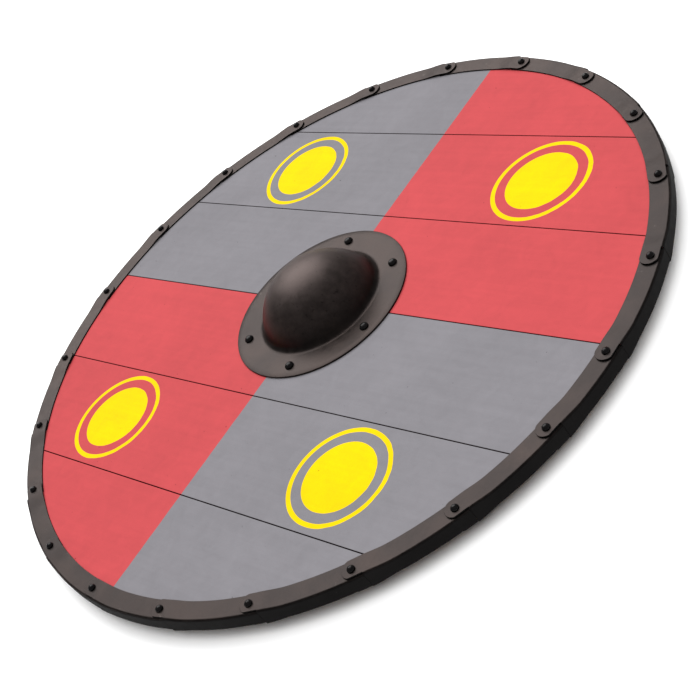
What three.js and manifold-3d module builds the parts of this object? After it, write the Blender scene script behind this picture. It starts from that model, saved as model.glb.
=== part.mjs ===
// A wooden round shield: six planks edge to edge, a domed steel boss over the hand hole, a rim of
// twenty-two steel channel segments, and a wooden grip across the back.
// Millimetres, +Z up. The shield lies on its back: the front faces +Z and the planks run along X.
// The origin is the middle of the box around the shield, at the height of the grip's underside.

import * as THREE from 'three';
import { mergeVertices } from 'three/addons/utils/BufferGeometryUtils.js';
import Module from 'manifold-3d';

const wasm = await Module();
wasm.setup();

// ---------------------------------------------------------------- driving dimensions

const rimRadius = 381; // outside of the rim channel, half of 762 mm (30 in)
const flangeWidth = 21; // how far the rim channel reaches in over the boards
const sheet = 1.5; // sheet steel of the rim channel
const boardThickness = 13;
const plankCount = 6;
const plankPitch = 126.2; // joint to joint
const jointGap = 1;
const gap = 0.3; // clearance between two pieces that touch
const boardSides = 44; // of the whole board's round edge
const facetAllowance = 0.6; // the board is this much smaller, to clear the channel's faceted inside

const layoutX = -4.5; // the boss and the plank joints sit a little off the rim's centre
const layoutY = 3.2;

const bossSheet = 2;
const bossRadius = 103;
const domeBaseRadius = 68.5; // where the dome would meet the flange without its fillet
const domeHeight = 49.2; // above the flange's upper face
const bossFillet = 8;
const handHoleRadius = 64;
const handHoleSides = 28;
const bossSides = 26;

const rimRivetCount = 22;
const firstRivetAngle = -1; // degrees, counter-clockwise from +X
const firstPitch = 17.2; // degrees from the first rivet to the second
const pitchLoss = 0.07; // each further pitch is this much shorter, and one short segment closes the rim
const seamOffset = 9.5; // along the rim, from each rivet to the seam where two webs meet
const rampLength = 4; // along the rim, where a flange steps up before it laps over its neighbour
const tongueRadius = 10; // of the half-round end about the rivet
const tongueShift = -0.6; // of its centre from the rivet, along the radius

const bossRivetCount = 6;
const bossRivetCircle = 87.5;
const bossRivetTurn = 45; // degrees
const gripRivets = [1, 4]; // the opposite pair that also holds the grip, counted from zero

const shankRadius = 2.4;
const holeRadius = 3.4; // to the corners of its few sides
const holeSides = 5;
const cutBelow = -10; // heights that every cutter passes
const cutAbove = 100;
const rimHead = { radius: 4.6, height: 3.2, sides: 6 };
const bossHead = { radius: 5, height: 3.6, sides: 8 };
const headShoulder = { radius: 0.78, height: 0.66 }; // shares of a head's radius and height
const tail = { radius: 4.4, height: 2.2 };

const gripLength = 660;
const gripWidth = 34;
const gripWaist = 28; // width where the hand holds it
const gripThickness = 18;
const gripEndThickness = 8;
const gripTaper = 150; // length of the thinned stretch at each end
const gripChamfer = 3;
const waistStart = 94; // from the grip's middle, where it begins to narrow
const waistEnd = 54; // from the grip's middle, where it is narrowest
const counterbore = { radius: 6.5, depth: 3.6, sides: 6 };

// ---------------------------------------------------------------- heights and radii worked out

const boardBack = gripThickness + gap;
const boardFront = boardBack + boardThickness;
const boardRadius = rimRadius - sheet - gap - facetAllowance;
const lift = sheet + gap; // how far a tongue stands proud of the flange that it laps over
const channelInside = { back: boardBack - gap, front: boardFront + gap };
const rivetRadius = rimRadius - flangeWidth / 2; // circle of the rim rivets
const bossBack = boardFront + gap;
const bossFront = bossBack + bossSheet;

const rad = THREE.MathUtils.degToRad;
const arcAngle = (length, radius) => length / radius; // radians

function rimRivetAngle(index) {
  const pitches = index * firstPitch - (pitchLoss * index * (index - 1)) / 2;
  return rad(firstRivetAngle + pitches);
}

function polar(radius, angle) {
  return [radius * Math.cos(angle), radius * Math.sin(angle)];
}

// ---------------------------------------------------------------- solids

function toSolid(geometry) {
  const bare = geometry.clone();
  bare.deleteAttribute('normal');
  bare.deleteAttribute('uv');
  const merged = mergeVertices(bare);
  return new wasm.Manifold(
    new wasm.Mesh({
      numProp: 3,
      vertProperties: new Float32Array(merged.attributes.position.array),
      triVerts: new Uint32Array(merged.index.array),
    })
  );
}

function toGeometry(solid) {
  const mesh = solid.getMesh();
  const geometry = new THREE.BufferGeometry();
  geometry.setAttribute('position', new THREE.BufferAttribute(mesh.vertProperties, 3));
  geometry.setIndex(new THREE.BufferAttribute(mesh.triVerts, 1));
  geometry.computeVertexNormals();
  return geometry;
}

// An upright cylinder between two heights.
function upright(radius, low, high, x, y, sides) {
  const geometry = new THREE.CylinderGeometry(radius, radius, high - low, sides);
  geometry.rotateX(Math.PI / 2);
  geometry.translate(x, y, (low + high) / 2);
  return toSolid(geometry);
}

function rivetHole(x, y) {
  return upright(holeRadius, cutBelow, cutAbove, x, y, holeSides);
}

// ---------------------------------------------------------------- planks

const rimRivetPlaces = [];
for (let i = 0; i < rimRivetCount; i += 1) {
  rimRivetPlaces.push(polar(rivetRadius, rimRivetAngle(i)));
}

const bossRivetPlaces = [];
for (let i = 0; i < bossRivetCount; i += 1) {
  const [x, y] = polar(bossRivetCircle, rad(bossRivetTurn + (i * 360) / bossRivetCount));
  bossRivetPlaces.push([layoutX + x, layoutY + y]);
}

// Planks are counted from the top, which is +Y.
function plank(index) {
  const reach = 2 * rimRadius;
  const upperJoint = layoutY + (plankCount / 2 - index) * plankPitch;
  let top = upperJoint - jointGap / 2;
  let bottom = upperJoint - plankPitch + jointGap / 2;
  if (index === 0) top = reach;
  if (index === plankCount - 1) bottom = -reach;
  const strip = new THREE.BoxGeometry(reach, top - bottom, boardThickness);
  strip.translate(0, (top + bottom) / 2, (boardBack + boardFront) / 2);
  const disc = upright(boardRadius, cutBelow, cutAbove, 0, 0, boardSides);
  let solid = disc.intersect(toSolid(strip));
  solid = solid.subtract(upright(handHoleRadius, cutBelow, cutAbove, layoutX, layoutY, handHoleSides));
  for (const [x, y] of [...rimRivetPlaces, ...bossRivetPlaces]) {
    if (y > bottom - holeRadius && y < top + holeRadius) solid = solid.subtract(rivetHole(x, y));
  }
  return toGeometry(solid);
}

// ---------------------------------------------------------------- boss

// Points of the dome, its fillet and the flange, on the surface a given depth inside the outer one.
function bossLine(depth, domeSteps, filletSteps) {
  const sphere = (domeBaseRadius ** 2 + domeHeight ** 2) / (2 * domeHeight);
  const centreZ = bossFront + domeHeight - sphere;
  const filletZ = bossFront + bossFillet;
  const filletR = Math.sqrt((sphere + bossFillet) ** 2 - (filletZ - centreZ) ** 2);
  const tangent = Math.atan2(filletZ - centreZ, filletR);
  const points = [];
  for (let i = 0; i <= domeSteps; i += 1) {
    const angle = Math.PI / 2 + (tangent - Math.PI / 2) * (i / domeSteps);
    const r = i === 0 ? 0 : (sphere - depth) * Math.cos(angle);
    points.push(new THREE.Vector2(r, centreZ + (sphere - depth) * Math.sin(angle)));
  }
  for (let i = 1; i <= filletSteps; i += 1) {
    const angle = tangent + (Math.PI / 2 - tangent) * (i / filletSteps);
    const r = filletR - (bossFillet + depth) * Math.cos(angle);
    points.push(new THREE.Vector2(r, filletZ - (bossFillet + depth) * Math.sin(angle)));
  }
  points.push(new THREE.Vector2(bossRadius, bossFront - depth));
  return points;
}

function boss() {
  const outside = bossLine(0, 6, 3);
  const inside = bossLine(bossSheet, 4, 1);
  const profile = [...inside, ...outside.reverse()];
  const shell = new THREE.LatheGeometry(profile, bossSides);
  shell.rotateX(Math.PI / 2);
  shell.translate(layoutX, layoutY, 0);
  let solid = toSolid(shell);
  for (const [x, y] of bossRivetPlaces) solid = solid.subtract(rivetHole(x, y));
  return toGeometry(solid);
}

// ---------------------------------------------------------------- rim

// The channel's section at a point along the rim, as [radius, height], with both flanges raised by an amount.
function channelSection(raised) {
  const inner = rimRadius - flangeWidth;
  const front = channelInside.front + raised;
  const back = channelInside.back - raised;
  return [
    [inner, front + sheet],
    [rimRadius, front + sheet],
    [rimRadius, back - sheet],
    [inner, back - sheet],
    [inner, back],
    [rimRadius - sheet, back],
    [rimRadius - sheet, front],
    [inner, front],
  ];
}

// A closed body through the sections, each at its own angle round the shield's axis.
function sweep(stations) {
  const positions = [];
  const index = [];
  const sides = stations[0].section.length;
  for (const { angle, section } of stations) {
    for (const [radius, z] of section) positions.push(...polar(radius, angle), z);
  }
  for (let s = 0; s + 1 < stations.length; s += 1) {
    for (let i = 0; i < sides; i += 1) {
      const a = s * sides + i;
      const b = s * sides + ((i + 1) % sides);
      index.push(a, a + sides, b, b, a + sides, b + sides);
    }
  }
  const outline = stations[0].section.map(([radius, z]) => new THREE.Vector2(radius, z));
  const last = (stations.length - 1) * sides;
  for (const [a, b, c] of THREE.ShapeUtils.triangulateShape(outline, [])) {
    index.push(a, c, b, last + a, last + b, last + c);
  }
  const geometry = new THREE.BufferGeometry();
  geometry.setAttribute('position', new THREE.Float32BufferAttribute(positions, 3));
  geometry.setIndex(index);
  return geometry;
}

// What is cut from a segment past its seam, to leave a half-round tongue about its rivet on each flange.
function tongueCutter(angle) {
  const reach = 2 * flangeWidth;
  const outer = tongueShift + tongueRadius;
  const outline = new THREE.Shape();
  outline.moveTo(reach, seamOffset);
  outline.lineTo(outer, seamOffset);
  outline.lineTo(outer, 0);
  outline.absarc(tongueShift, 0, tongueRadius, 0, -Math.PI, true);
  outline.lineTo(-reach, 0);
  outline.lineTo(-reach, -reach);
  outline.lineTo(reach, -reach);
  outline.closePath();
  const block = new THREE.ExtrudeGeometry(outline, {
    depth: cutAbove - cutBelow,
    bevelEnabled: false,
    curveSegments: 3,
  });
  block.translate(0, 0, cutBelow);
  const webHeight = channelInside.front - channelInside.back + 2 * lift;
  const web = new THREE.BoxGeometry(reach, reach + seamOffset, webHeight);
  web.translate(reach / 2, (seamOffset - reach) / 2, (channelInside.front + channelInside.back) / 2);
  const [x, y] = polar(rivetRadius, angle);
  const placed = [block, web].map((geometry) => toSolid(geometry.rotateZ(angle).translate(x, y, 0)));
  return placed[0].add(placed[1]);
}

// Segments run clockwise seen from the front, from the rivet at angle `from` down to the one at `to`.
// Each starts square at the seam before its first rivet. Past the seam at its other end it goes on as two
// tongues, front and back, that lap over the flanges of the next segment.
function rimSegment(from, to) {
  const seam = arcAngle(seamOffset, rivetRadius);
  const start = from + seam - arcAngle(gap, rivetRadius);
  const lapStart = to + seam + arcAngle(gap, rivetRadius);
  const rampStart = lapStart + arcAngle(rampLength, rivetRadius);
  const end = to - arcAngle(tongueRadius + 1, rivetRadius);
  const plainSteps = 3;
  const stations = [];
  for (let i = 0; i <= plainSteps; i += 1) {
    const angle = start + (rampStart - start) * (i / plainSteps);
    stations.push({ angle, section: channelSection(0) });
  }
  for (const angle of [lapStart, end]) {
    stations.push({ angle, section: channelSection(lift) });
  }
  let solid = toSolid(sweep(stations));
  solid = solid.subtract(tongueCutter(to));
  solid = solid.subtract(rivetHole(...polar(rivetRadius, from)));
  solid = solid.subtract(rivetHole(...polar(rivetRadius, to)));
  return toGeometry(solid);
}

// ---------------------------------------------------------------- rivets

// A domed head above, a shank, and a flatter head closed over at the back.
function rivet(head, seat, tailSeat, x, y) {
  const profile = [
    [0, tailSeat - tail.height],
    [tail.radius, tailSeat],
    [shankRadius, tailSeat],
    [shankRadius, seat],
    [head.radius, seat],
    [head.radius * headShoulder.radius, seat + head.height * headShoulder.height],
    [0, seat + head.height],
  ];
  const geometry = new THREE.LatheGeometry(
    profile.map(([r, z]) => new THREE.Vector2(r, z)),
    head.sides
  );
  geometry.rotateX(Math.PI / 2);
  geometry.translate(x, y, 0);
  return toGeometry(toSolid(geometry));
}

// ---------------------------------------------------------------- grip

// A batten across the back, along the line of two opposite boss rivets, waisted where the hand holds it.
function grip() {
  const half = gripLength / 2 - gripChamfer;
  const side = gripWidth / 2 - gripChamfer;
  const waist = gripWaist / 2 - gripChamfer;
  const plan = new THREE.Shape();
  plan.moveTo(-half, -side);
  plan.lineTo(-waistStart, -side);
  plan.lineTo(-waistEnd, -waist);
  plan.lineTo(waistEnd, -waist);
  plan.lineTo(waistStart, -side);
  plan.lineTo(half, -side);
  plan.lineTo(half, side);
  plan.lineTo(waistStart, side);
  plan.lineTo(waistEnd, waist);
  plan.lineTo(-waistEnd, waist);
  plan.lineTo(-waistStart, side);
  plan.lineTo(-half, side);
  plan.closePath();
  const batten = new THREE.ExtrudeGeometry(plan, {
    depth: gripThickness - 2 * gripChamfer,
    bevelSize: gripChamfer,
    bevelThickness: gripChamfer,
    bevelSegments: 1,
  });
  batten.translate(0, 0, gripChamfer);
  let solid = toSolid(batten);
  const slope = Math.atan2(gripThickness - gripEndThickness, gripTaper);
  for (const end of [-1, 1]) {
    const wedge = new THREE.BoxGeometry(2 * gripTaper, 2 * gripWidth, gripThickness);
    wedge.translate(end * gripTaper, 0, -gripThickness / 2);
    wedge.rotateY(-end * slope);
    wedge.translate(end * (gripLength / 2 - gripTaper), 0, 0);
    solid = solid.subtract(toSolid(wedge));
    const place = end * bossRivetCircle;
    solid = solid.subtract(rivetHole(place, 0));
    solid = solid.subtract(upright(counterbore.radius, cutBelow, counterbore.depth, place, 0, counterbore.sides));
  }
  return toGeometry(solid);
}

// ---------------------------------------------------------------- materials and the shield

const paintedWood = new THREE.MeshStandardMaterial({ color: 0xb04a4c, roughness: 0.75 });
const paintedWoodGrey = new THREE.MeshStandardMaterial({ color: 0x8b8c90, roughness: 0.75 });
const blackSteel = new THREE.MeshStandardMaterial({
  color: 0x3f3a38,
  roughness: 0.5,
  metalness: 0.6,
});
const rivetSteel = new THREE.MeshStandardMaterial({
  color: 0x1d1c1c,
  roughness: 0.4,
  metalness: 0.6,
});
const bareWood = new THREE.MeshStandardMaterial({ color: 0xb58a5a, roughness: 0.8 });

const shield = new THREE.Group();

function add(name, geometry, material) {
  const mesh = new THREE.Mesh(geometry, material);
  mesh.name = name;
  shield.add(mesh);
  return mesh;
}

// The painted quarters cross the planks, so here the planks only alternate between the two colours.
for (let i = 0; i < plankCount; i += 1) {
  add(`plank_${i + 1}`, plank(i), i % 2 ? paintedWoodGrey : paintedWood);
}

add('boss', boss(), blackSteel);

for (let i = 0; i < bossRivetCount; i += 1) {
  const throughGrip = gripRivets.includes(i);
  const tailSeat = throughGrip ? counterbore.depth - gap : boardBack - gap;
  const [x, y] = bossRivetPlaces[i];
  add(`boss_rivet_${i + 1}`, rivet(bossHead, bossFront + gap, tailSeat, x, y), rivetSteel);
}

for (let i = 0; i < rimRivetCount; i += 1) {
  const number = String(i + 1).padStart(2, '0');
  const from = rimRivetAngle(i);
  const to = i === 0 ? rimRivetAngle(rimRivetCount - 1) - 2 * Math.PI : rimRivetAngle(i - 1);
  add(`rim_segment_${number}`, rimSegment(from, to), blackSteel);
  const [x, y] = rimRivetPlaces[i];
  const seat = channelInside.front + sheet + lift + gap;
  const tailSeat = channelInside.back - sheet - lift - gap;
  add(`rim_rivet_${number}`, rivet(rimHead, seat, tailSeat, x, y), rivetSteel);
}

const gripMesh = add('grip', grip(), bareWood);
gripMesh.position.set(layoutX, layoutY, 0);
gripMesh.rotation.z = rad(bossRivetTurn + (gripRivets[0] * 360) / bossRivetCount);

export default shield;
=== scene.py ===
"""Looks for a wooden round shield: painted planks, a steel boss, a riveted steel rim and a wooden grip.

Everything is in metres, in the frame's own axes: +Z out of the painted face, +X along the planks.
"""

import math

import bmesh
import bpy
from mathutils import Matrix, Vector, noise


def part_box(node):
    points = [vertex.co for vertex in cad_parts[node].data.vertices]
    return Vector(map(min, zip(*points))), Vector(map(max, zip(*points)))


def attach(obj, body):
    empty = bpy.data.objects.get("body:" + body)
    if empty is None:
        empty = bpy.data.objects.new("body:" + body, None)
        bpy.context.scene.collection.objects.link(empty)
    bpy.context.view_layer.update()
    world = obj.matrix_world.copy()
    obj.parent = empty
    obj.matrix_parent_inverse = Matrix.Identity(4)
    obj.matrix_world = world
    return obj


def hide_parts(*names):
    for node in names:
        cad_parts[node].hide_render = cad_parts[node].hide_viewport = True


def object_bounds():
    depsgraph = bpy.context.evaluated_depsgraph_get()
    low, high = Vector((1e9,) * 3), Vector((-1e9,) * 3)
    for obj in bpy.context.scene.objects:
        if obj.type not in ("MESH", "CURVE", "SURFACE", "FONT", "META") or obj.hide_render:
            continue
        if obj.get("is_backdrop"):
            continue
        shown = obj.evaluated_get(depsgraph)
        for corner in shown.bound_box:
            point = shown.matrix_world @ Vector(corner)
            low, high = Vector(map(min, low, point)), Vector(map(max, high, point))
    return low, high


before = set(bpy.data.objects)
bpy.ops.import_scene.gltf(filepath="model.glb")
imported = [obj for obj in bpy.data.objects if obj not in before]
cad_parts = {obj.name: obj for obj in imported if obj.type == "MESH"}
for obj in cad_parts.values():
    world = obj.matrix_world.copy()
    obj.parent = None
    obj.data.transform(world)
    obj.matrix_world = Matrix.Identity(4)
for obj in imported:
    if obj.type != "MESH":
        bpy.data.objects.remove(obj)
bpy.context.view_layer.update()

MM = 0.001

# ------------------------------------------------------------------ sizes taken from the frame

PLANKS = 6
RIM_RIVETS = 22
BOSS_RIVETS = 6

boss_low, boss_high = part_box("boss")
face_low, face_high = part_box("plank_3")
BOSS_X = (boss_low.x + boss_high.x) / 2
BOSS_Y = (boss_low.y + boss_high.y) / 2
BOSS_RADIUS = (boss_high.x - boss_low.x) / 2
BOARD_BACK = face_low.z
BOARD_FRONT = face_high.z
CLEARANCE = 0.3 * MM
BOSS_SHEET = 2 * MM
BOSS_FRONT = boss_low.z + BOSS_SHEET  # upper face of the boss's flange

SHEET = 1.5 * MM
FLANGE = 21 * MM
RIM_RADIUS = 381 * MM
EDGE_GAP = 0.6 * MM  # between the boards' edge and the web of the channel
BOARD_RADIUS = RIM_RADIUS - SHEET - EDGE_GAP
RIVET_CIRCLE = RIM_RADIUS - FLANGE / 2
LIFT = SHEET + CLEARANCE  # how far a lapping tongue stands proud


def centre(node):
    low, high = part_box(node)
    return (low + high) / 2


def angle_of(node):
    """The node's place round the shield's axis, in radians."""
    point = centre(node)
    return math.atan2(point.y, point.x)


def arc(middle_x, middle_y, radius, start, end, count):
    """Points of an arc from one angle to the other, both included."""
    points = []
    for i in range(count + 1):
        a = start + (end - start) * i / count
        points.append((middle_x + radius * math.cos(a), middle_y + radius * math.sin(a)))
    return points


def ease(value):
    """0 to 1 with a soft start and a soft end."""
    value = max(0.0, min(1.0, value))
    return value * value * (3 - 2 * value)


# ------------------------------------------------------------------ node helpers


class Nodes:
    """A short way to write a material's node tree."""

    def __init__(self, name):
        self.material = bpy.data.materials.new(name)
        self.material.use_nodes = True
        self.tree = self.material.node_tree
        self.tree.nodes.clear()
        self.shader = self.add("ShaderNodeBsdfPrincipled")
        output = self.add("ShaderNodeOutputMaterial")
        self.link(self.shader.outputs[0], output.inputs["Surface"])
        self.place = self.add("ShaderNodeTexCoord").outputs["Object"]

    def add(self, kind, **settings):
        node = self.tree.nodes.new(kind)
        for key, value in settings.items():
            setattr(node, key, value)
        return node

    def link(self, source, target):
        if isinstance(source, bpy.types.NodeSocket):
            self.tree.links.new(source, target)
        else:
            target.default_value = source

    def math(self, operation, a, b=0.0):
        node = self.add("ShaderNodeMath", operation=operation)
        self.link(a, node.inputs[0])
        self.link(b, node.inputs[1])
        return node.outputs[0]

    def blend(self, *weighted):
        """The sum of (value, weight) pairs."""
        total = None
        for value, weight in weighted:
            term = self.math("MULTIPLY", value, weight)
            total = term if total is None else self.math("ADD", total, term)
        return total

    def shaded(self, colour, shade):
        """The colour multiplied by a single number."""
        return self.mix(1.0, colour, self.join(shade, shade, shade), "MULTIPLY")

    def split(self, vector):
        node = self.add("ShaderNodeSeparateXYZ")
        self.link(vector, node.inputs[0])
        return node.outputs

    def join(self, x, y, z):
        node = self.add("ShaderNodeCombineXYZ")
        for value, socket in zip((x, y, z), node.inputs):
            self.link(value, socket)
        return node.outputs[0]

    def scaled(self, scale, turn=0.0):
        """The place on the object, stretched along each axis, for grain."""
        node = self.add("ShaderNodeMapping")
        self.link(self.place, node.inputs["Vector"])
        node.inputs["Scale"].default_value = scale
        node.inputs["Rotation"].default_value = (0.0, 0.0, turn)
        return node.outputs[0]

    def noise(self, scale, detail=4.0, roughness=0.55, vector=None, distortion=0.0):
        """Noise with `scale` features to the metre, from 0 to 1."""
        node = self.add("ShaderNodeTexNoise")
        self.link(vector or self.place, node.inputs["Vector"])
        node.inputs["Scale"].default_value = scale
        node.inputs["Detail"].default_value = detail
        node.inputs["Roughness"].default_value = roughness
        node.inputs["Distortion"].default_value = distortion
        return node.outputs[0]

    def span(self, value, low, high, to_low=0.0, to_high=1.0):
        """Takes low to to_low and high to to_high, and holds those values outside."""
        node = self.add("ShaderNodeMapRange", clamp=True)
        self.link(value, node.inputs["Value"])
        node.inputs["From Min"].default_value = low
        node.inputs["From Max"].default_value = high
        node.inputs["To Min"].default_value = to_low
        node.inputs["To Max"].default_value = to_high
        return node.outputs[0]

    def mix(self, share, a, b, blend="MIX"):
        node = self.add("ShaderNodeMix", data_type="RGBA", blend_type=blend)
        self.link(share, node.inputs["Factor"])
        self.link(a, node.inputs[6])
        self.link(b, node.inputs[7])
        return node.outputs[2]

    def bump(self, height, distance, strength):
        node = self.add("ShaderNodeBump")
        node.inputs["Strength"].default_value = strength
        node.inputs["Distance"].default_value = distance
        self.link(height, node.inputs["Height"])
        self.link(node.outputs[0], self.shader.inputs["Normal"])


def rgb(red, green, blue):
    """A colour from 0-255 display values."""
    linear = []
    for value in (red, green, blue):
        share = value / 255
        linear.append(share / 12.92 if share <= 0.04045 else ((share + 0.055) / 1.055) ** 2.4)
    return (*linear, 1.0)


MIDDLE = (0.3, 0.7)  # the range that most of a noise texture lies in


# ------------------------------------------------------------------ paint

PAINT_X = BOSS_X - 0.7 * MM  # the upright division between the colours
PAINT_Y = BOSS_Y
DISC_X = 178.5 * MM  # centre of each disc, from the divisions
DISC_Y = 188.8 * MM
DISC_RADIUS = 40.2 * MM
RING_INNER = 51.4 * MM
RING_OUTER = 56.5 * MM

RED = rgb(172, 68, 71)
GREY = rgb(114, 112, 116)
YELLOW = rgb(215, 183, 0)
BARE_PINE = rgb(196, 156, 108)
PINE_RINGS = rgb(168, 124, 78)
JOINT_SHADE = rgb(120, 92, 92)
SOFT_EDGE = 0.25 * MM  # half the width over which one paint gives way to the next
WANDER = 1.2 * MM  # how far a painted edge can stray, from one side to the other


def quarters_and_discs(n):
    """Where the paint is red, and where it is yellow, each from 0 to 1."""
    x, y, _ = n.split(n.place)
    # the edges follow a hand-cut mask, so they wander by a few tenths of a millimetre
    wander = n.math("MULTIPLY", n.math("SUBTRACT", n.noise(60.0, 3.0), 0.5), WANDER)
    dx = n.math("ADD", n.math("SUBTRACT", x, PAINT_X), wander)
    dy = n.math("SUBTRACT", y, PAINT_Y)
    right = n.span(dx, -SOFT_EDGE, SOFT_EDGE)
    upper = n.span(dy, -SOFT_EDGE, SOFT_EDGE)
    # red where both are set or neither is: upper right and lower left
    red = n.math("ABSOLUTE", n.math("SUBTRACT", n.math("ADD", right, upper), 1.0))
    across = n.math("SUBTRACT", n.math("ABSOLUTE", dx), DISC_X)
    along = n.math("SUBTRACT", n.math("ABSOLUTE", dy), DISC_Y)
    squares = n.math("ADD", n.math("MULTIPLY", across, across), n.math("MULTIPLY", along, along))
    away = n.math("ADD", n.math("SQRT", squares), wander)
    disc = n.span(away, DISC_RADIUS + SOFT_EDGE, DISC_RADIUS - SOFT_EDGE)
    inside_ring = n.span(away, RING_OUTER + SOFT_EDGE, RING_OUTER - SOFT_EDGE)
    outside_gap = n.span(away, RING_INNER - SOFT_EDGE, RING_INNER + SOFT_EDGE)
    yellow = n.math("MAXIMUM", disc, n.math("MULTIPLY", inside_ring, outside_gap))
    return red, yellow


def painted_planks():
    n = Nodes("painted_planks")
    red, yellow = quarters_and_discs(n)

    # brushed paint over boards: streaks along the planks, broad clouds, dabs and a fine speckle
    streaks = n.noise(1.0, 5.0, 0.6, vector=n.scaled((6.0, 160.0, 40.0)))
    clouds = n.noise(9.0, 3.0, 0.5)
    dabs = n.noise(55.0, 4.0, 0.6, distortion=0.8)
    speckle = n.noise(900.0, 2.0, 0.6)
    tone = n.blend((streaks, 0.22), (clouds, 0.33), (dabs, 0.30), (speckle, 0.15))
    specks_of_dirt = n.span(n.noise(240.0, 2.0, 0.5), 0.765, 0.80, 1.0, 0.45)
    shade = n.math("MULTIPLY", n.span(tone, *MIDDLE, 0.85, 1.13), specks_of_dirt)
    painted = n.shaded(n.mix(yellow, n.mix(red, GREY, RED), YELLOW), shade)

    # the back is bare, and the planks' sides have the front's paint, darkened
    grain = n.noise(1.0, 6.0, 0.65, vector=n.scaled((2.5, 55.0, 30.0)), distortion=1.5)
    bare = n.mix(n.span(grain, 0.35, 0.65), PINE_RINGS, BARE_PINE)
    upward = n.split(n.add("ShaderNodeNewGeometry").outputs["Normal"])[2]
    in_the_joint = n.mix(1.0, painted, JOINT_SHADE, "MULTIPLY")
    unpainted = n.mix(n.span(upward, -0.25, -0.45), in_the_joint, bare)
    colour = n.mix(n.span(upward, 0.25, 0.45), unpainted, painted)
    n.link(colour, n.shader.inputs["Base Color"])
    n.link(n.span(tone, *MIDDLE, 0.55, 0.68), n.shader.inputs["Roughness"])
    n.shader.inputs["Specular IOR Level"].default_value = 0.03
    n.bump(n.blend((streaks, 0.7), (speckle, 0.3)), 0.25 * MM, 0.6)
    return n.material


# ------------------------------------------------------------------ steel


def steel(name, dark, warm, rubbed, roughness, gloss, metallic, dome_sheen=None):
    """Blackened steel, mottled and worn.

    The mottle takes the roughness from the first of its two values to the second, and a fine grain adds
    a little. The last argument, for the steel of the boss, is a brighter colour for its dome: a painted
    sheen.
    """
    n = Nodes(name)
    patches = n.noise(14.0, 4.0, 0.6, distortion=0.4)
    mottle = n.noise(120.0, 4.0, 0.65)
    fine = n.noise(1500.0, 2.0, 0.6)
    cloud = n.span(mottle, *MIDDLE, 0.76, 1.2)
    base = n.shaded(n.mix(n.span(patches, 0.40, 0.62), dark, warm), cloud)
    rough = n.math("ADD", n.span(mottle, *MIDDLE, *roughness), n.math("MULTIPLY", fine, 0.06))
    height = n.blend((mottle, 0.7), (fine, 0.3))
    if dome_sheen:
        # the raised dome's colour is a little brighter than its flange's, a painted sheen; it is also
        # rougher, and has small dark pits
        height_above = n.math("SUBTRACT", n.split(n.place)[2], BOSS_FRONT)
        on_dome = n.span(height_above, 6 * MM, 22 * MM)
        base = n.mix(on_dome, base, n.shaded(dome_sheen, cloud))
        pits = n.math("MULTIPLY", n.span(n.noise(230.0, 3.0, 0.6), 0.37, 0.30), on_dome)
        base = n.shaded(base, n.span(pits, 0.0, 1.0, 1.0, 0.6))
        rough = n.math("ADD", rough, n.math("MULTIPLY", on_dome, 0.07))
        height = n.math("SUBTRACT", height, n.math("MULTIPLY", pits, 0.4))
    # pale where the black has been rubbed through, in a few small places
    thin = n.span(n.noise(55.0, 5.0, 0.7), 0.64, 0.72)
    worn = n.math("MULTIPLY", thin, n.span(mottle, 0.52, 0.62))
    base = n.mix(n.math("MULTIPLY", worn, 0.6), base, rubbed)
    n.link(base, n.shader.inputs["Base Color"])
    n.link(rough, n.shader.inputs["Roughness"])
    n.shader.inputs["Metallic"].default_value = metallic
    n.shader.inputs["Specular IOR Level"].default_value = gloss
    n.shader.inputs["Specular Tint"].default_value = (1.0, 0.94, 0.92, 1.0)
    n.bump(height, 0.12 * MM, 0.5)
    return n.material


def bare_wood():
    n = Nodes("bare_wood")
    along_the_grip = n.scaled((60.0, 5.0, 60.0), turn=math.radians(-15))
    grain = n.noise(1.0, 6.0, 0.65, vector=along_the_grip, distortion=1.2)
    colour = n.mix(n.span(grain, 0.35, 0.65), rgb(120, 80, 46), rgb(178, 130, 82))
    n.link(colour, n.shader.inputs["Base Color"])
    n.shader.inputs["Roughness"].default_value = 0.6
    n.bump(grain, 0.3 * MM, 0.6)
    return n.material


SOOT = rgb(46, 42, 41)
WARM_SOOT = rgb(53, 47, 45)
# the dome's brighter colour, a painted sheen
DOME_SHEEN_COLOUR = rgb(74, 66, 64)
RUBBED = rgb(120, 114, 110)
# the rivets' own black, which on the web is also a tone of its painted shade
RIVET_BLACK_AND_WEB_SHADE = rgb(16, 15, 15)
# the web's colours are darker copies of the steel's: painted shade where the web faces away from the
# light
WEB_PAINTED_SHADE = rgb(12, 11, 11)
WEB_RUBBED_IN_PAINTED_SHADE = rgb(60, 57, 54)
RIVET_BLACK = rgb(12, 11, 12)
RIVET_RUBBED = rgb(60, 57, 55)

PAINT = painted_planks()
STEEL = steel("blackened_steel", SOOT, WARM_SOOT, RUBBED, (0.30, 0.44), 0.2, 1.0, DOME_SHEEN_COLOUR)
# the web and the sheet's cut edges get a darker, duller copy of the steel: painted shade
SHADED_WEB_STEEL = steel("shaded_web_steel", WEB_PAINTED_SHADE, RIVET_BLACK_AND_WEB_SHADE, WEB_RUBBED_IN_PAINTED_SHADE, (0.60, 0.72), 0.05, 0.0)
RIVET_STEEL = steel("rivet_steel", RIVET_BLACK, RIVET_BLACK_AND_WEB_SHADE, RIVET_RUBBED, (0.13, 0.20), 0.13, 0.0)
WOOD = bare_wood()


# ------------------------------------------------------------------ mesh helpers


def new_piece(name, mesh, material, slot, *nodes):
    piece = bpy.data.objects.new(name, mesh)
    bpy.context.scene.collection.objects.link(piece)
    mesh.materials.append(material)
    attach(piece, "root")
    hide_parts(*nodes)
    return piece


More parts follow.
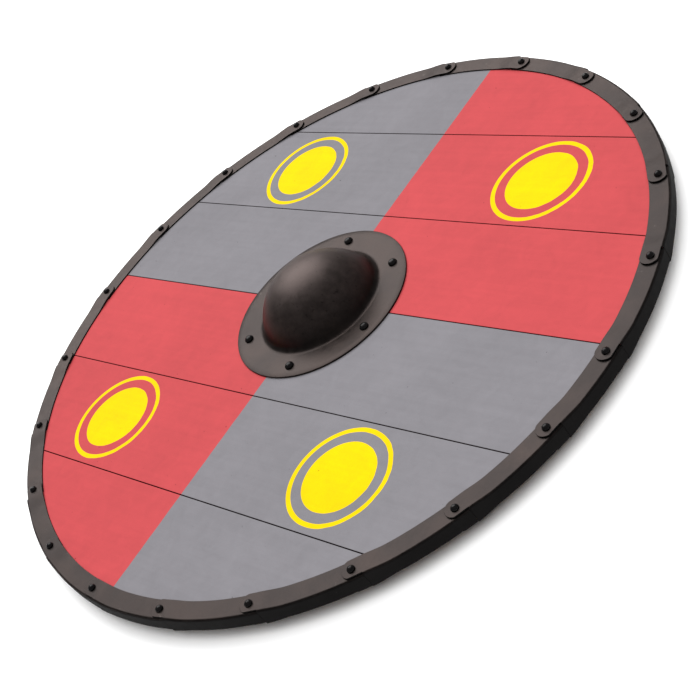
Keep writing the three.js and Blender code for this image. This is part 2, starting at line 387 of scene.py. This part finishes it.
def mesh_of(name, points, faces):
    mesh = bpy.data.meshes.new(name)
    mesh.from_pydata(points, [], faces)
    mesh.validate()
    smooth(mesh)
    return mesh


def smooth(mesh):
    mesh.polygons.foreach_set("use_smooth", [True] * len(mesh.polygons))


def bevel(piece, width, segments, angle):
    """Rounds the edges that turn by more than the angle, in degrees."""
    modifier = piece.modifiers.new("edges", "BEVEL")
    modifier.width = width
    modifier.segments = segments
    modifier.limit_method = "ANGLE"
    modifier.angle_limit = math.radians(angle)


def weigh_normals(piece):
    modifier = piece.modifiers.new("normals", "WEIGHTED_NORMAL")
    modifier.keep_sharp = True
    modifier.weight = 80


def lathe(name, profile, steps, place, wobble=None):
    """A turned body about an upright axis at `place`. The profile runs from the axis to the axis."""
    points, faces, rows = [], [], []
    for r, z in profile:
        if r == 0:
            rows.append([len(points)])
            points.append((place[0], place[1], z))
            continue
        row = []
        for i in range(steps):
            a = 2 * math.pi * i / steps
            point = Vector((place[0] + r * math.cos(a), place[1] + r * math.sin(a), z))
            if wobble:
                point = wobble(point)
            row.append(len(points))
            points.append(tuple(point))
        rows.append(row)
    for lower, upper in zip(rows, rows[1:]):
        for i in range(steps):
            j = (i + 1) % steps
            if len(lower) == 1:
                faces.append((lower[0], upper[i], upper[j]))
            elif len(upper) == 1:
                faces.append((lower[i], upper[0], lower[j]))
            else:
                faces.append((lower[i], upper[i], upper[j], lower[j]))
    mesh = mesh_of(name, points, faces)
    outward(mesh)
    return mesh


def outward(mesh):
    """Turns a closed mesh's faces outward."""
    bm = bmesh.new()
    bm.from_mesh(mesh)
    bmesh.ops.recalc_face_normals(bm, faces=bm.faces)
    bm.to_mesh(mesh)
    bm.free()
    smooth(mesh)


# ------------------------------------------------------------------ planks

HAND_HOLE = 64 * MM
ARC_STEP = math.radians(1.5)
HOLE_STEPS = 48
ARRIS = 0.5 * MM
POLE = BOARD_RADIUS - 0.001 * MM  # where the round edge ends at the shield's top and bottom


def rim_arc(start_y, end_y, side):
    """The board's round edge between two heights, on the right (1) or the left (-1)."""
    start = math.asin(start_y / BOARD_RADIUS)
    end = math.asin(end_y / BOARD_RADIUS)
    count = max(2, round(abs(end - start) / ARC_STEP))
    return [(side * x, y) for x, y in arc(0, 0, BOARD_RADIUS, start, end, count)]


def plank_outline(number):
    """The plank's outline, counter-clockwise, with true arcs at the rim and round the hand hole."""
    low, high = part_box(f"plank_{number}")
    bottom = -POLE if number == PLANKS else low.y
    top = POLE if number == 1 else high.y
    points = []
    if number == PLANKS // 2:
        # the hand hole's upper half, from the left along the lower edge
        start = math.pi - math.asin((bottom - BOSS_Y) / HAND_HOLE)
        points += arc(BOSS_X, BOSS_Y, HAND_HOLE, start, math.pi - start, HOLE_STEPS)
    points += rim_arc(bottom, top, 1)
    if number == PLANKS // 2 + 1:
        # the hand hole's lower half, from the right along the upper edge
        start = math.asin((top - BOSS_Y) / HAND_HOLE)
        points += arc(BOSS_X, BOSS_Y, HAND_HOLE, start, -math.pi - start, HOLE_STEPS)
    points += rim_arc(top, bottom, -1)
    return without_repeats(points)


def without_repeats(points):
    """The points, less those that lie on the one before."""
    near = 0.05 * MM
    kept = []
    for point in points:
        if not kept or math.dist(point, kept[-1]) > near:
            kept.append(point)
    if math.dist(kept[0], kept[-1]) < near:
        kept.pop()
    return kept


def make_plank(number):
    outline = plank_outline(number)
    bm = bmesh.new()
    vertices = [bm.verts.new((x, y, BOARD_BACK)) for x, y in outline]
    base = bm.faces.new(vertices)
    raised = bmesh.ops.extrude_face_region(bm, geom=[base])
    for item in raised["geom"]:
        if isinstance(item, bmesh.types.BMVert):
            item.co.z = BOARD_FRONT
    bmesh.ops.recalc_face_normals(bm, faces=bm.faces)
    name = f"plank_{number}_painted"
    mesh = bpy.data.meshes.new(name)
    bm.to_mesh(mesh)
    bm.free()
    smooth(mesh)
    piece = new_piece(name, mesh, PAINT, "painted_planks", f"plank_{number}")
    bevel(piece, ARRIS, segments=2, angle=40)
    weigh_normals(piece)


for number in range(1, PLANKS + 1):
    make_plank(number)


# ------------------------------------------------------------------ boss

DOME_BASE = 68.5 * MM
FILLET = 8 * MM
DOME_HEIGHT = boss_high.z - BOSS_FRONT
DOME_STEPS = 40
FILLET_STEPS = 10
LIP_STEPS = 6
LIP = 0.5 * MM  # how far the flange's edge is rounded
TURNS = 144  # steps round the boss
UNEVEN = 0.5 * MM  # multiplies the dome's lumps, which run to about 1.3
FADE = 0.3  # the share of the dome's radius over which its unevenness fades out
BROAD_LUMPS = 22
SMALL_LUMPS = 60


def boss_line(depth):
    """The dome and its fillet, on the surface a given depth inside the outer one."""
    sphere = (DOME_BASE**2 + DOME_HEIGHT**2) / (2 * DOME_HEIGHT)
    centre_z = BOSS_FRONT + DOME_HEIGHT - sphere
    fillet_z = BOSS_FRONT + FILLET
    fillet_r = math.sqrt((sphere + FILLET) ** 2 - (fillet_z - centre_z) ** 2)
    tangent = math.atan2(fillet_z - centre_z, fillet_r)
    line = []
    for i in range(DOME_STEPS + 1):
        a = math.pi / 2 + (tangent - math.pi / 2) * i / DOME_STEPS
        r = (sphere - depth) * math.cos(a) if i else 0.0
        line.append((r, centre_z + (sphere - depth) * math.sin(a)))
    for i in range(1, FILLET_STEPS + 1):
        a = tangent + (math.pi / 2 - tangent) * i / FILLET_STEPS
        r = fillet_r - (FILLET + depth) * math.cos(a)
        line.append((r, fillet_z - (FILLET + depth) * math.sin(a)))
    return line


def raised_by_hand(point):
    """Draws the dome in unevenly, by up to about 0.65 mm. The flange stays true."""
    away = Vector((point.x - BOSS_X, point.y - BOSS_Y, 0))
    share = 1 - ease((away.length - DOME_BASE * (1 - FADE)) / (DOME_BASE * FADE))
    lump = 0.6 + noise.noise(point * BROAD_LUMPS) * 0.5 + noise.noise(point * SMALL_LUMPS) * 0.2
    return point - away.normalized() * lump * share * UNEVEN


def make_boss():
    outside = boss_line(0.0)
    inside = boss_line(BOSS_SHEET)
    fillet_end = outside[-1][0]
    flat = [fillet_end + (BOSS_RADIUS - fillet_end) * share for share in (0.25, 0.5, 0.75)]
    flange_out = [(r, BOSS_FRONT) for r in flat]
    flange_in = [(r, BOSS_FRONT - BOSS_SHEET) for r in flat]
    lip = []
    for i in range(LIP_STEPS + 1):
        a = -math.pi / 2 + math.pi * i / LIP_STEPS
        z = BOSS_FRONT - BOSS_SHEET / 2 + BOSS_SHEET / 2 * math.sin(a)
        lip.append((BOSS_RADIUS - LIP + LIP * math.cos(a), z))
    profile = inside + flange_in + lip + flange_out[::-1] + outside[::-1]
    mesh = lathe("boss_raised", profile, TURNS, (BOSS_X, BOSS_Y), raised_by_hand)
    new_piece("boss_raised", mesh, STEEL, "blackened_steel", "boss")


make_boss()


# ------------------------------------------------------------------ rivets


# each head and tail is a radius and a height
RIM_HEAD = (4.0 * MM, 3.2 * MM)
BOSS_HEAD = (5.0 * MM, 3.6 * MM)
TAIL = (4.4 * MM, 2.2 * MM)
SHANK = 2.4 * MM
HEAD_STEPS = 7
RIVET_TURNS = 24


def make_rivet(node, back, front, head_radius, head_height):
    """A domed head, a shank and a peened tail, from `back` to `front` along Z."""
    tail_radius, tail_height = TAIL
    tail_seat = back + tail_height
    seat = front - head_height
    profile = [(0.0, back)]
    for i in range(1, HEAD_STEPS + 1):
        a = math.pi / 2 * i / HEAD_STEPS
        profile.append((tail_radius * math.sin(a), tail_seat - tail_height * math.cos(a)))
    profile += [(SHANK, tail_seat), (SHANK, seat)]
    for i in range(HEAD_STEPS):
        a = math.pi / 2 * (1 - i / HEAD_STEPS)
        profile.append((head_radius * math.sin(a), seat + head_height * math.cos(a)))
    profile.append((0.0, seat + head_height))
    middle = centre(node)
    mesh = lathe(f"{node}_head", profile, RIVET_TURNS, (middle.x, middle.y))
    new_piece(f"{node}_domed", mesh, RIVET_STEEL, "rivets", node)


for i in range(1, BOSS_RIVETS + 1):
    low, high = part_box(f"boss_rivet_{i}")
    make_rivet(f"boss_rivet_{i}", low.z, high.z, *BOSS_HEAD)
for i in range(1, RIM_RIVETS + 1):
    low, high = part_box(f"rim_rivet_{i:02d}")
    make_rivet(f"rim_rivet_{i:02d}", low.z, high.z, *RIM_HEAD)


# ------------------------------------------------------------------ rim

SEAM = 9.5 * MM  # along the rim, from each rivet to the seam where two webs meet
HALF_GAP = 0.1 * MM  # half of the gap between two webs at a seam
RAMP = 26 * MM  # along the rim, where a segment rises before it laps over its neighbour
TONGUE_RADIUS = 10 * MM
TONGUE_SHIFT = -0.6 * MM  # of the tongue's middle from the rivet circle, outward
TONGUE_COLUMNS = 13
TONGUE_ROWS = 12
PLAIN_ROWS = 16
RAMP_ROWS = 12
BEND = 2.2 * MM  # outside radius of the channel's two bends
BEND_STEPS = 5
HAND_BENT = 0.35 * MM  # how far inward the channel wanders, at most
RIPPLE = 9  # how quickly it wanders along the rim
SHEET_EDGE = 0.35 * MM
CHANNEL_FRONT = BOARD_FRONT + CLEARANCE + SHEET  # upper face of the front flange
CHANNEL_BACK = BOARD_BACK - CLEARANCE - SHEET
SHADED_WEB_SLOPE = 0.6  # a face whose normal is less upright than this belongs to the web, which takes the darker steel of painted shade


def channel_columns():
    """The channel's outer surface, from the front flange's inner edge to the back one's.

    Each column is (radius, height, side). Side is 1 on the front flange and -1 on the back one, and the
    flanges' lift fades between them across the web. The first and last TONGUE_COLUMNS are the flanges,
    which go on past the seam.
    """
    inner = RIM_RADIUS - FLANGE
    outer = RIM_RADIUS - BEND
    half = []
    for i in range(TONGUE_COLUMNS):
        a = math.pi * i / (TONGUE_COLUMNS - 1)
        half.append(((inner + outer) / 2 - (outer - inner) / 2 * math.cos(a), CHANNEL_FRONT))
    for i in range(1, BEND_STEPS + 1):
        a = math.pi / 2 * (1 - i / BEND_STEPS)
        half.append((outer + BEND * math.cos(a), CHANNEL_FRONT - BEND + BEND * math.sin(a)))
    middle = (CHANNEL_FRONT + CHANNEL_BACK) / 2
    bend_end = CHANNEL_FRONT - BEND
    web = [(RIM_RADIUS, middle + (bend_end - middle) * share) for share in (0.5, 0.0, -0.5)]
    mirrored = [(r, 2 * middle - z) for r, z in reversed(half)]
    columns = []
    for r, z in half + web + mirrored:
        side = (z - middle) / (bend_end - middle)
        columns.append((r, z, max(-1.0, min(1.0, side))))
    return columns


COLUMNS = channel_columns()


class Segment:
    """One bent sheet, built clockwise as points and faces.

    It runs from the seam just before the rivet at the angle `first` to the seam just before the one at
    `last`, and its tongues reach on past that rivet.
    """

    def __init__(self, number, first, last):
        self.points = []
        self.faces = []
        self.last = last
        self.start = first + (SEAM - HALF_GAP) / RIVET_CIRCLE
        self.finish = last + (SEAM + HALF_GAP) / RIVET_CIRCLE
        self.own_noise = Vector((number * 7.3, 1.7, 4.1))

    def place(self, column, angle, lift):
        """Adds a point. The sheet is bent by hand, so it wanders inward by a few tenths."""
        r, z, side = COLUMNS[column]
        spot = Vector((math.cos(angle), math.sin(angle), 0)) * RIPPLE + self.own_noise
        r -= HAND_BENT * (0.5 + 0.5 * noise.noise(spot))
        self.points.append((r * math.cos(angle), r * math.sin(angle), z + side * lift))
        return len(self.points) - 1

    def strip(self, before, after):
        """Joins two rows of points with faces."""
        for j in range(len(before) - 1):
            self.faces.append((before[j], before[j + 1], after[j + 1], after[j]))

    def channel(self):
        """The channel up to its seam. Gives the last row."""
        ramp = RAMP / ((self.start - self.finish) * RIVET_CIRCLE)
        shares = [(1 - ramp) * i / PLAIN_ROWS for i in range(PLAIN_ROWS)]
        shares += [1 - ramp + ramp * i / RAMP_ROWS for i in range(RAMP_ROWS + 1)]
        row = None
        for share in shares:
            angle = self.start + (self.finish - self.start) * share
            lift = LIFT * ease((share - 1 + ramp) / ramp)
            current = [self.place(j, angle, lift) for j in range(len(COLUMNS))]
            if row:
                self.strip(row, current)
            row = current
        return row

    def tongue(self, row, columns):
        """A half-round tongue that goes on from the seam's row."""
        before = [row[j] for j in columns]
        for step in range(1, TONGUE_ROWS + 1):
            current = []
            for j in columns:
                across = (COLUMNS[j][0] - RIVET_CIRCLE - TONGUE_SHIFT) / TONGUE_RADIUS
                reach = TONGUE_RADIUS * math.sqrt(max(0.0, 1 - across**2))
                far = self.last - reach / RIVET_CIRCLE
                angle = self.finish + (far - self.finish) * step / TONGUE_ROWS
                current.append(self.place(j, angle, LIFT))
            self.strip(before, current)
            before = current


def make_segment(number):
    name = f"rim_segment_{number:02d}"
    first = angle_of(f"rim_rivet_{number:02d}")
    last = angle_of(f"rim_rivet_{number - 1 or RIM_RIVETS:02d}")
    last = first - (first - last) % (2 * math.pi)
    segment = Segment(number, first, last)
    row = segment.channel()
    segment.tongue(row, range(TONGUE_COLUMNS))
    segment.tongue(row, range(len(COLUMNS) - TONGUE_COLUMNS, len(COLUMNS)))
    mesh = mesh_of(name + "_bent", segment.points, segment.faces)
    orient_out(mesh)
    piece = new_piece(name + "_bent", mesh, STEEL, "blackened_steel", name)
    # the web's faces take the darker steel: painted shade
    mesh.materials.append(SHADED_WEB_STEEL)
    for face in mesh.polygons:
        if abs(face.normal.z) < SHADED_WEB_SLOPE:
            face.material_index = 1
    thick = piece.modifiers.new("sheet", "SOLIDIFY")
    thick.thickness = SHEET
    thick.offset = -1.0
    thick.use_even_offset = False
    # the sheet's cut edges take the darker steel too: painted shadow lines along the tongues and the
    # flanges' inner edges
    thick.material_offset_rim = 1
    bevel(piece, SHEET_EDGE, segments=2, angle=50)
    weigh_normals(piece)


def orient_out(mesh):
    """Turns the open sheet's faces outward: up on the front flange."""
    mesh.update()
    top = max(mesh.polygons, key=lambda face: face.center.z)
    if top.normal.z < 0:
        mesh.flip_normals()


for number in range(1, RIM_RIVETS + 1):
    make_segment(number)


# ------------------------------------------------------------------ grip


GRIP_EDGE = 1.5 * MM


def dress_grip():
    """The grip's own solid is kept, with rounded edges."""
    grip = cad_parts["grip"]
    for slot in grip.material_slots:
        slot.material = WOOD
    bevel(grip, GRIP_EDGE, segments=3, angle=20)


dress_grip()


# ------------------------------------------------------------------ floor, light, camera


FLOOR_HALF = 6.0


def direction(azimuth, elevation):
    """The unit vector from the shield to a light or the camera. In degrees, with azimuth 0 towards -Y."""
    a, e = math.radians(azimuth), math.radians(elevation)
    return Vector((math.sin(a) * math.cos(e), -math.cos(a) * math.cos(e), math.sin(e)))


def stage():
    mesh = bpy.data.meshes.new("floor")
    corners = [(-1, -1), (1, -1), (1, 1), (-1, 1)]
    mesh.from_pydata([(x * FLOOR_HALF, y * FLOOR_HALF, 0) for x, y in corners], [], [(0, 1, 2, 3)])
    floor = bpy.data.objects.new("floor", mesh)
    bpy.context.scene.collection.objects.link(floor)
    material = bpy.data.materials.new("floor")
    material.use_nodes = True
    shader = material.node_tree.nodes["Principled BSDF"]
    shader.inputs["Base Color"].default_value = (0.95, 0.95, 0.95, 1)
    shader.inputs["Roughness"].default_value = 0.9
    shader.inputs["Specular IOR Level"].default_value = 0.1
    mesh.materials.append(material)
    floor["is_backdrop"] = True


def softbox(name, azimuth, elevation, distance, size, power, glossy=True):
    """A square area light that faces the shield. One that isn't glossy shows in no reflection."""
    back = direction(azimuth, elevation)
    data = bpy.data.lights.new(name, "AREA")
    data.shape = "SQUARE"
    data.size = size
    data.energy = power
    light = bpy.data.objects.new(name, data)
    light.location = Vector((BOSS_X, BOSS_Y, BOARD_FRONT)) + back * distance
    light.rotation_mode = "QUATERNION"
    light.rotation_quaternion = back.to_track_quat("Z", "Y")
    light.visible_glossy = glossy
    bpy.context.scene.collection.objects.link(light)


def sky(strength):
    world = bpy.data.worlds.new("world")
    bpy.context.scene.world = world
    world.use_nodes = True
    background = world.node_tree.nodes["Background"]
    background.inputs["Color"].default_value = (1, 1, 1, 1)
    background.inputs["Strength"].default_value = strength


CAMERA_AZIMUTH = 62.43
CAMERA_ELEVATION = 35.32
CAMERA_ROLL = -37.90
CAMERA_DISTANCE = 1.4148
CAMERA_AIM = Vector((80.3 * MM, -48.3 * MM, BOARD_FRONT))
CAMERA_LENS = 73.6


def camera():
    back = direction(CAMERA_AZIMUTH, CAMERA_ELEVATION)
    right = Vector((0, 0, 1)).cross(back).normalized()
    up = back.cross(right)
    level = Matrix((right, up, back)).transposed()
    data = bpy.data.cameras.new("camera")
    data.sensor_width = 36
    data.lens = CAMERA_LENS
    cam = bpy.data.objects.new("camera", data)
    cam.rotation_mode = "QUATERNION"
    cam.location = CAMERA_AIM + back * CAMERA_DISTANCE
    turned = level @ Matrix.Rotation(math.radians(CAMERA_ROLL), 3, "Z")
    cam.rotation_quaternion = turned.to_quaternion()
    bpy.context.scene.collection.objects.link(cam)
    bpy.context.scene.camera = cam


stage()
softbox("key", azimuth=-120, elevation=46, distance=3.6, size=3.3, power=150)
softbox("top", azimuth=75, elevation=67, distance=3.2, size=3.4, power=140, glossy=False)
camera()
sky(strength=0.22)
bpy.context.scene.view_settings.view_transform = "Standard"

low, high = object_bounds()
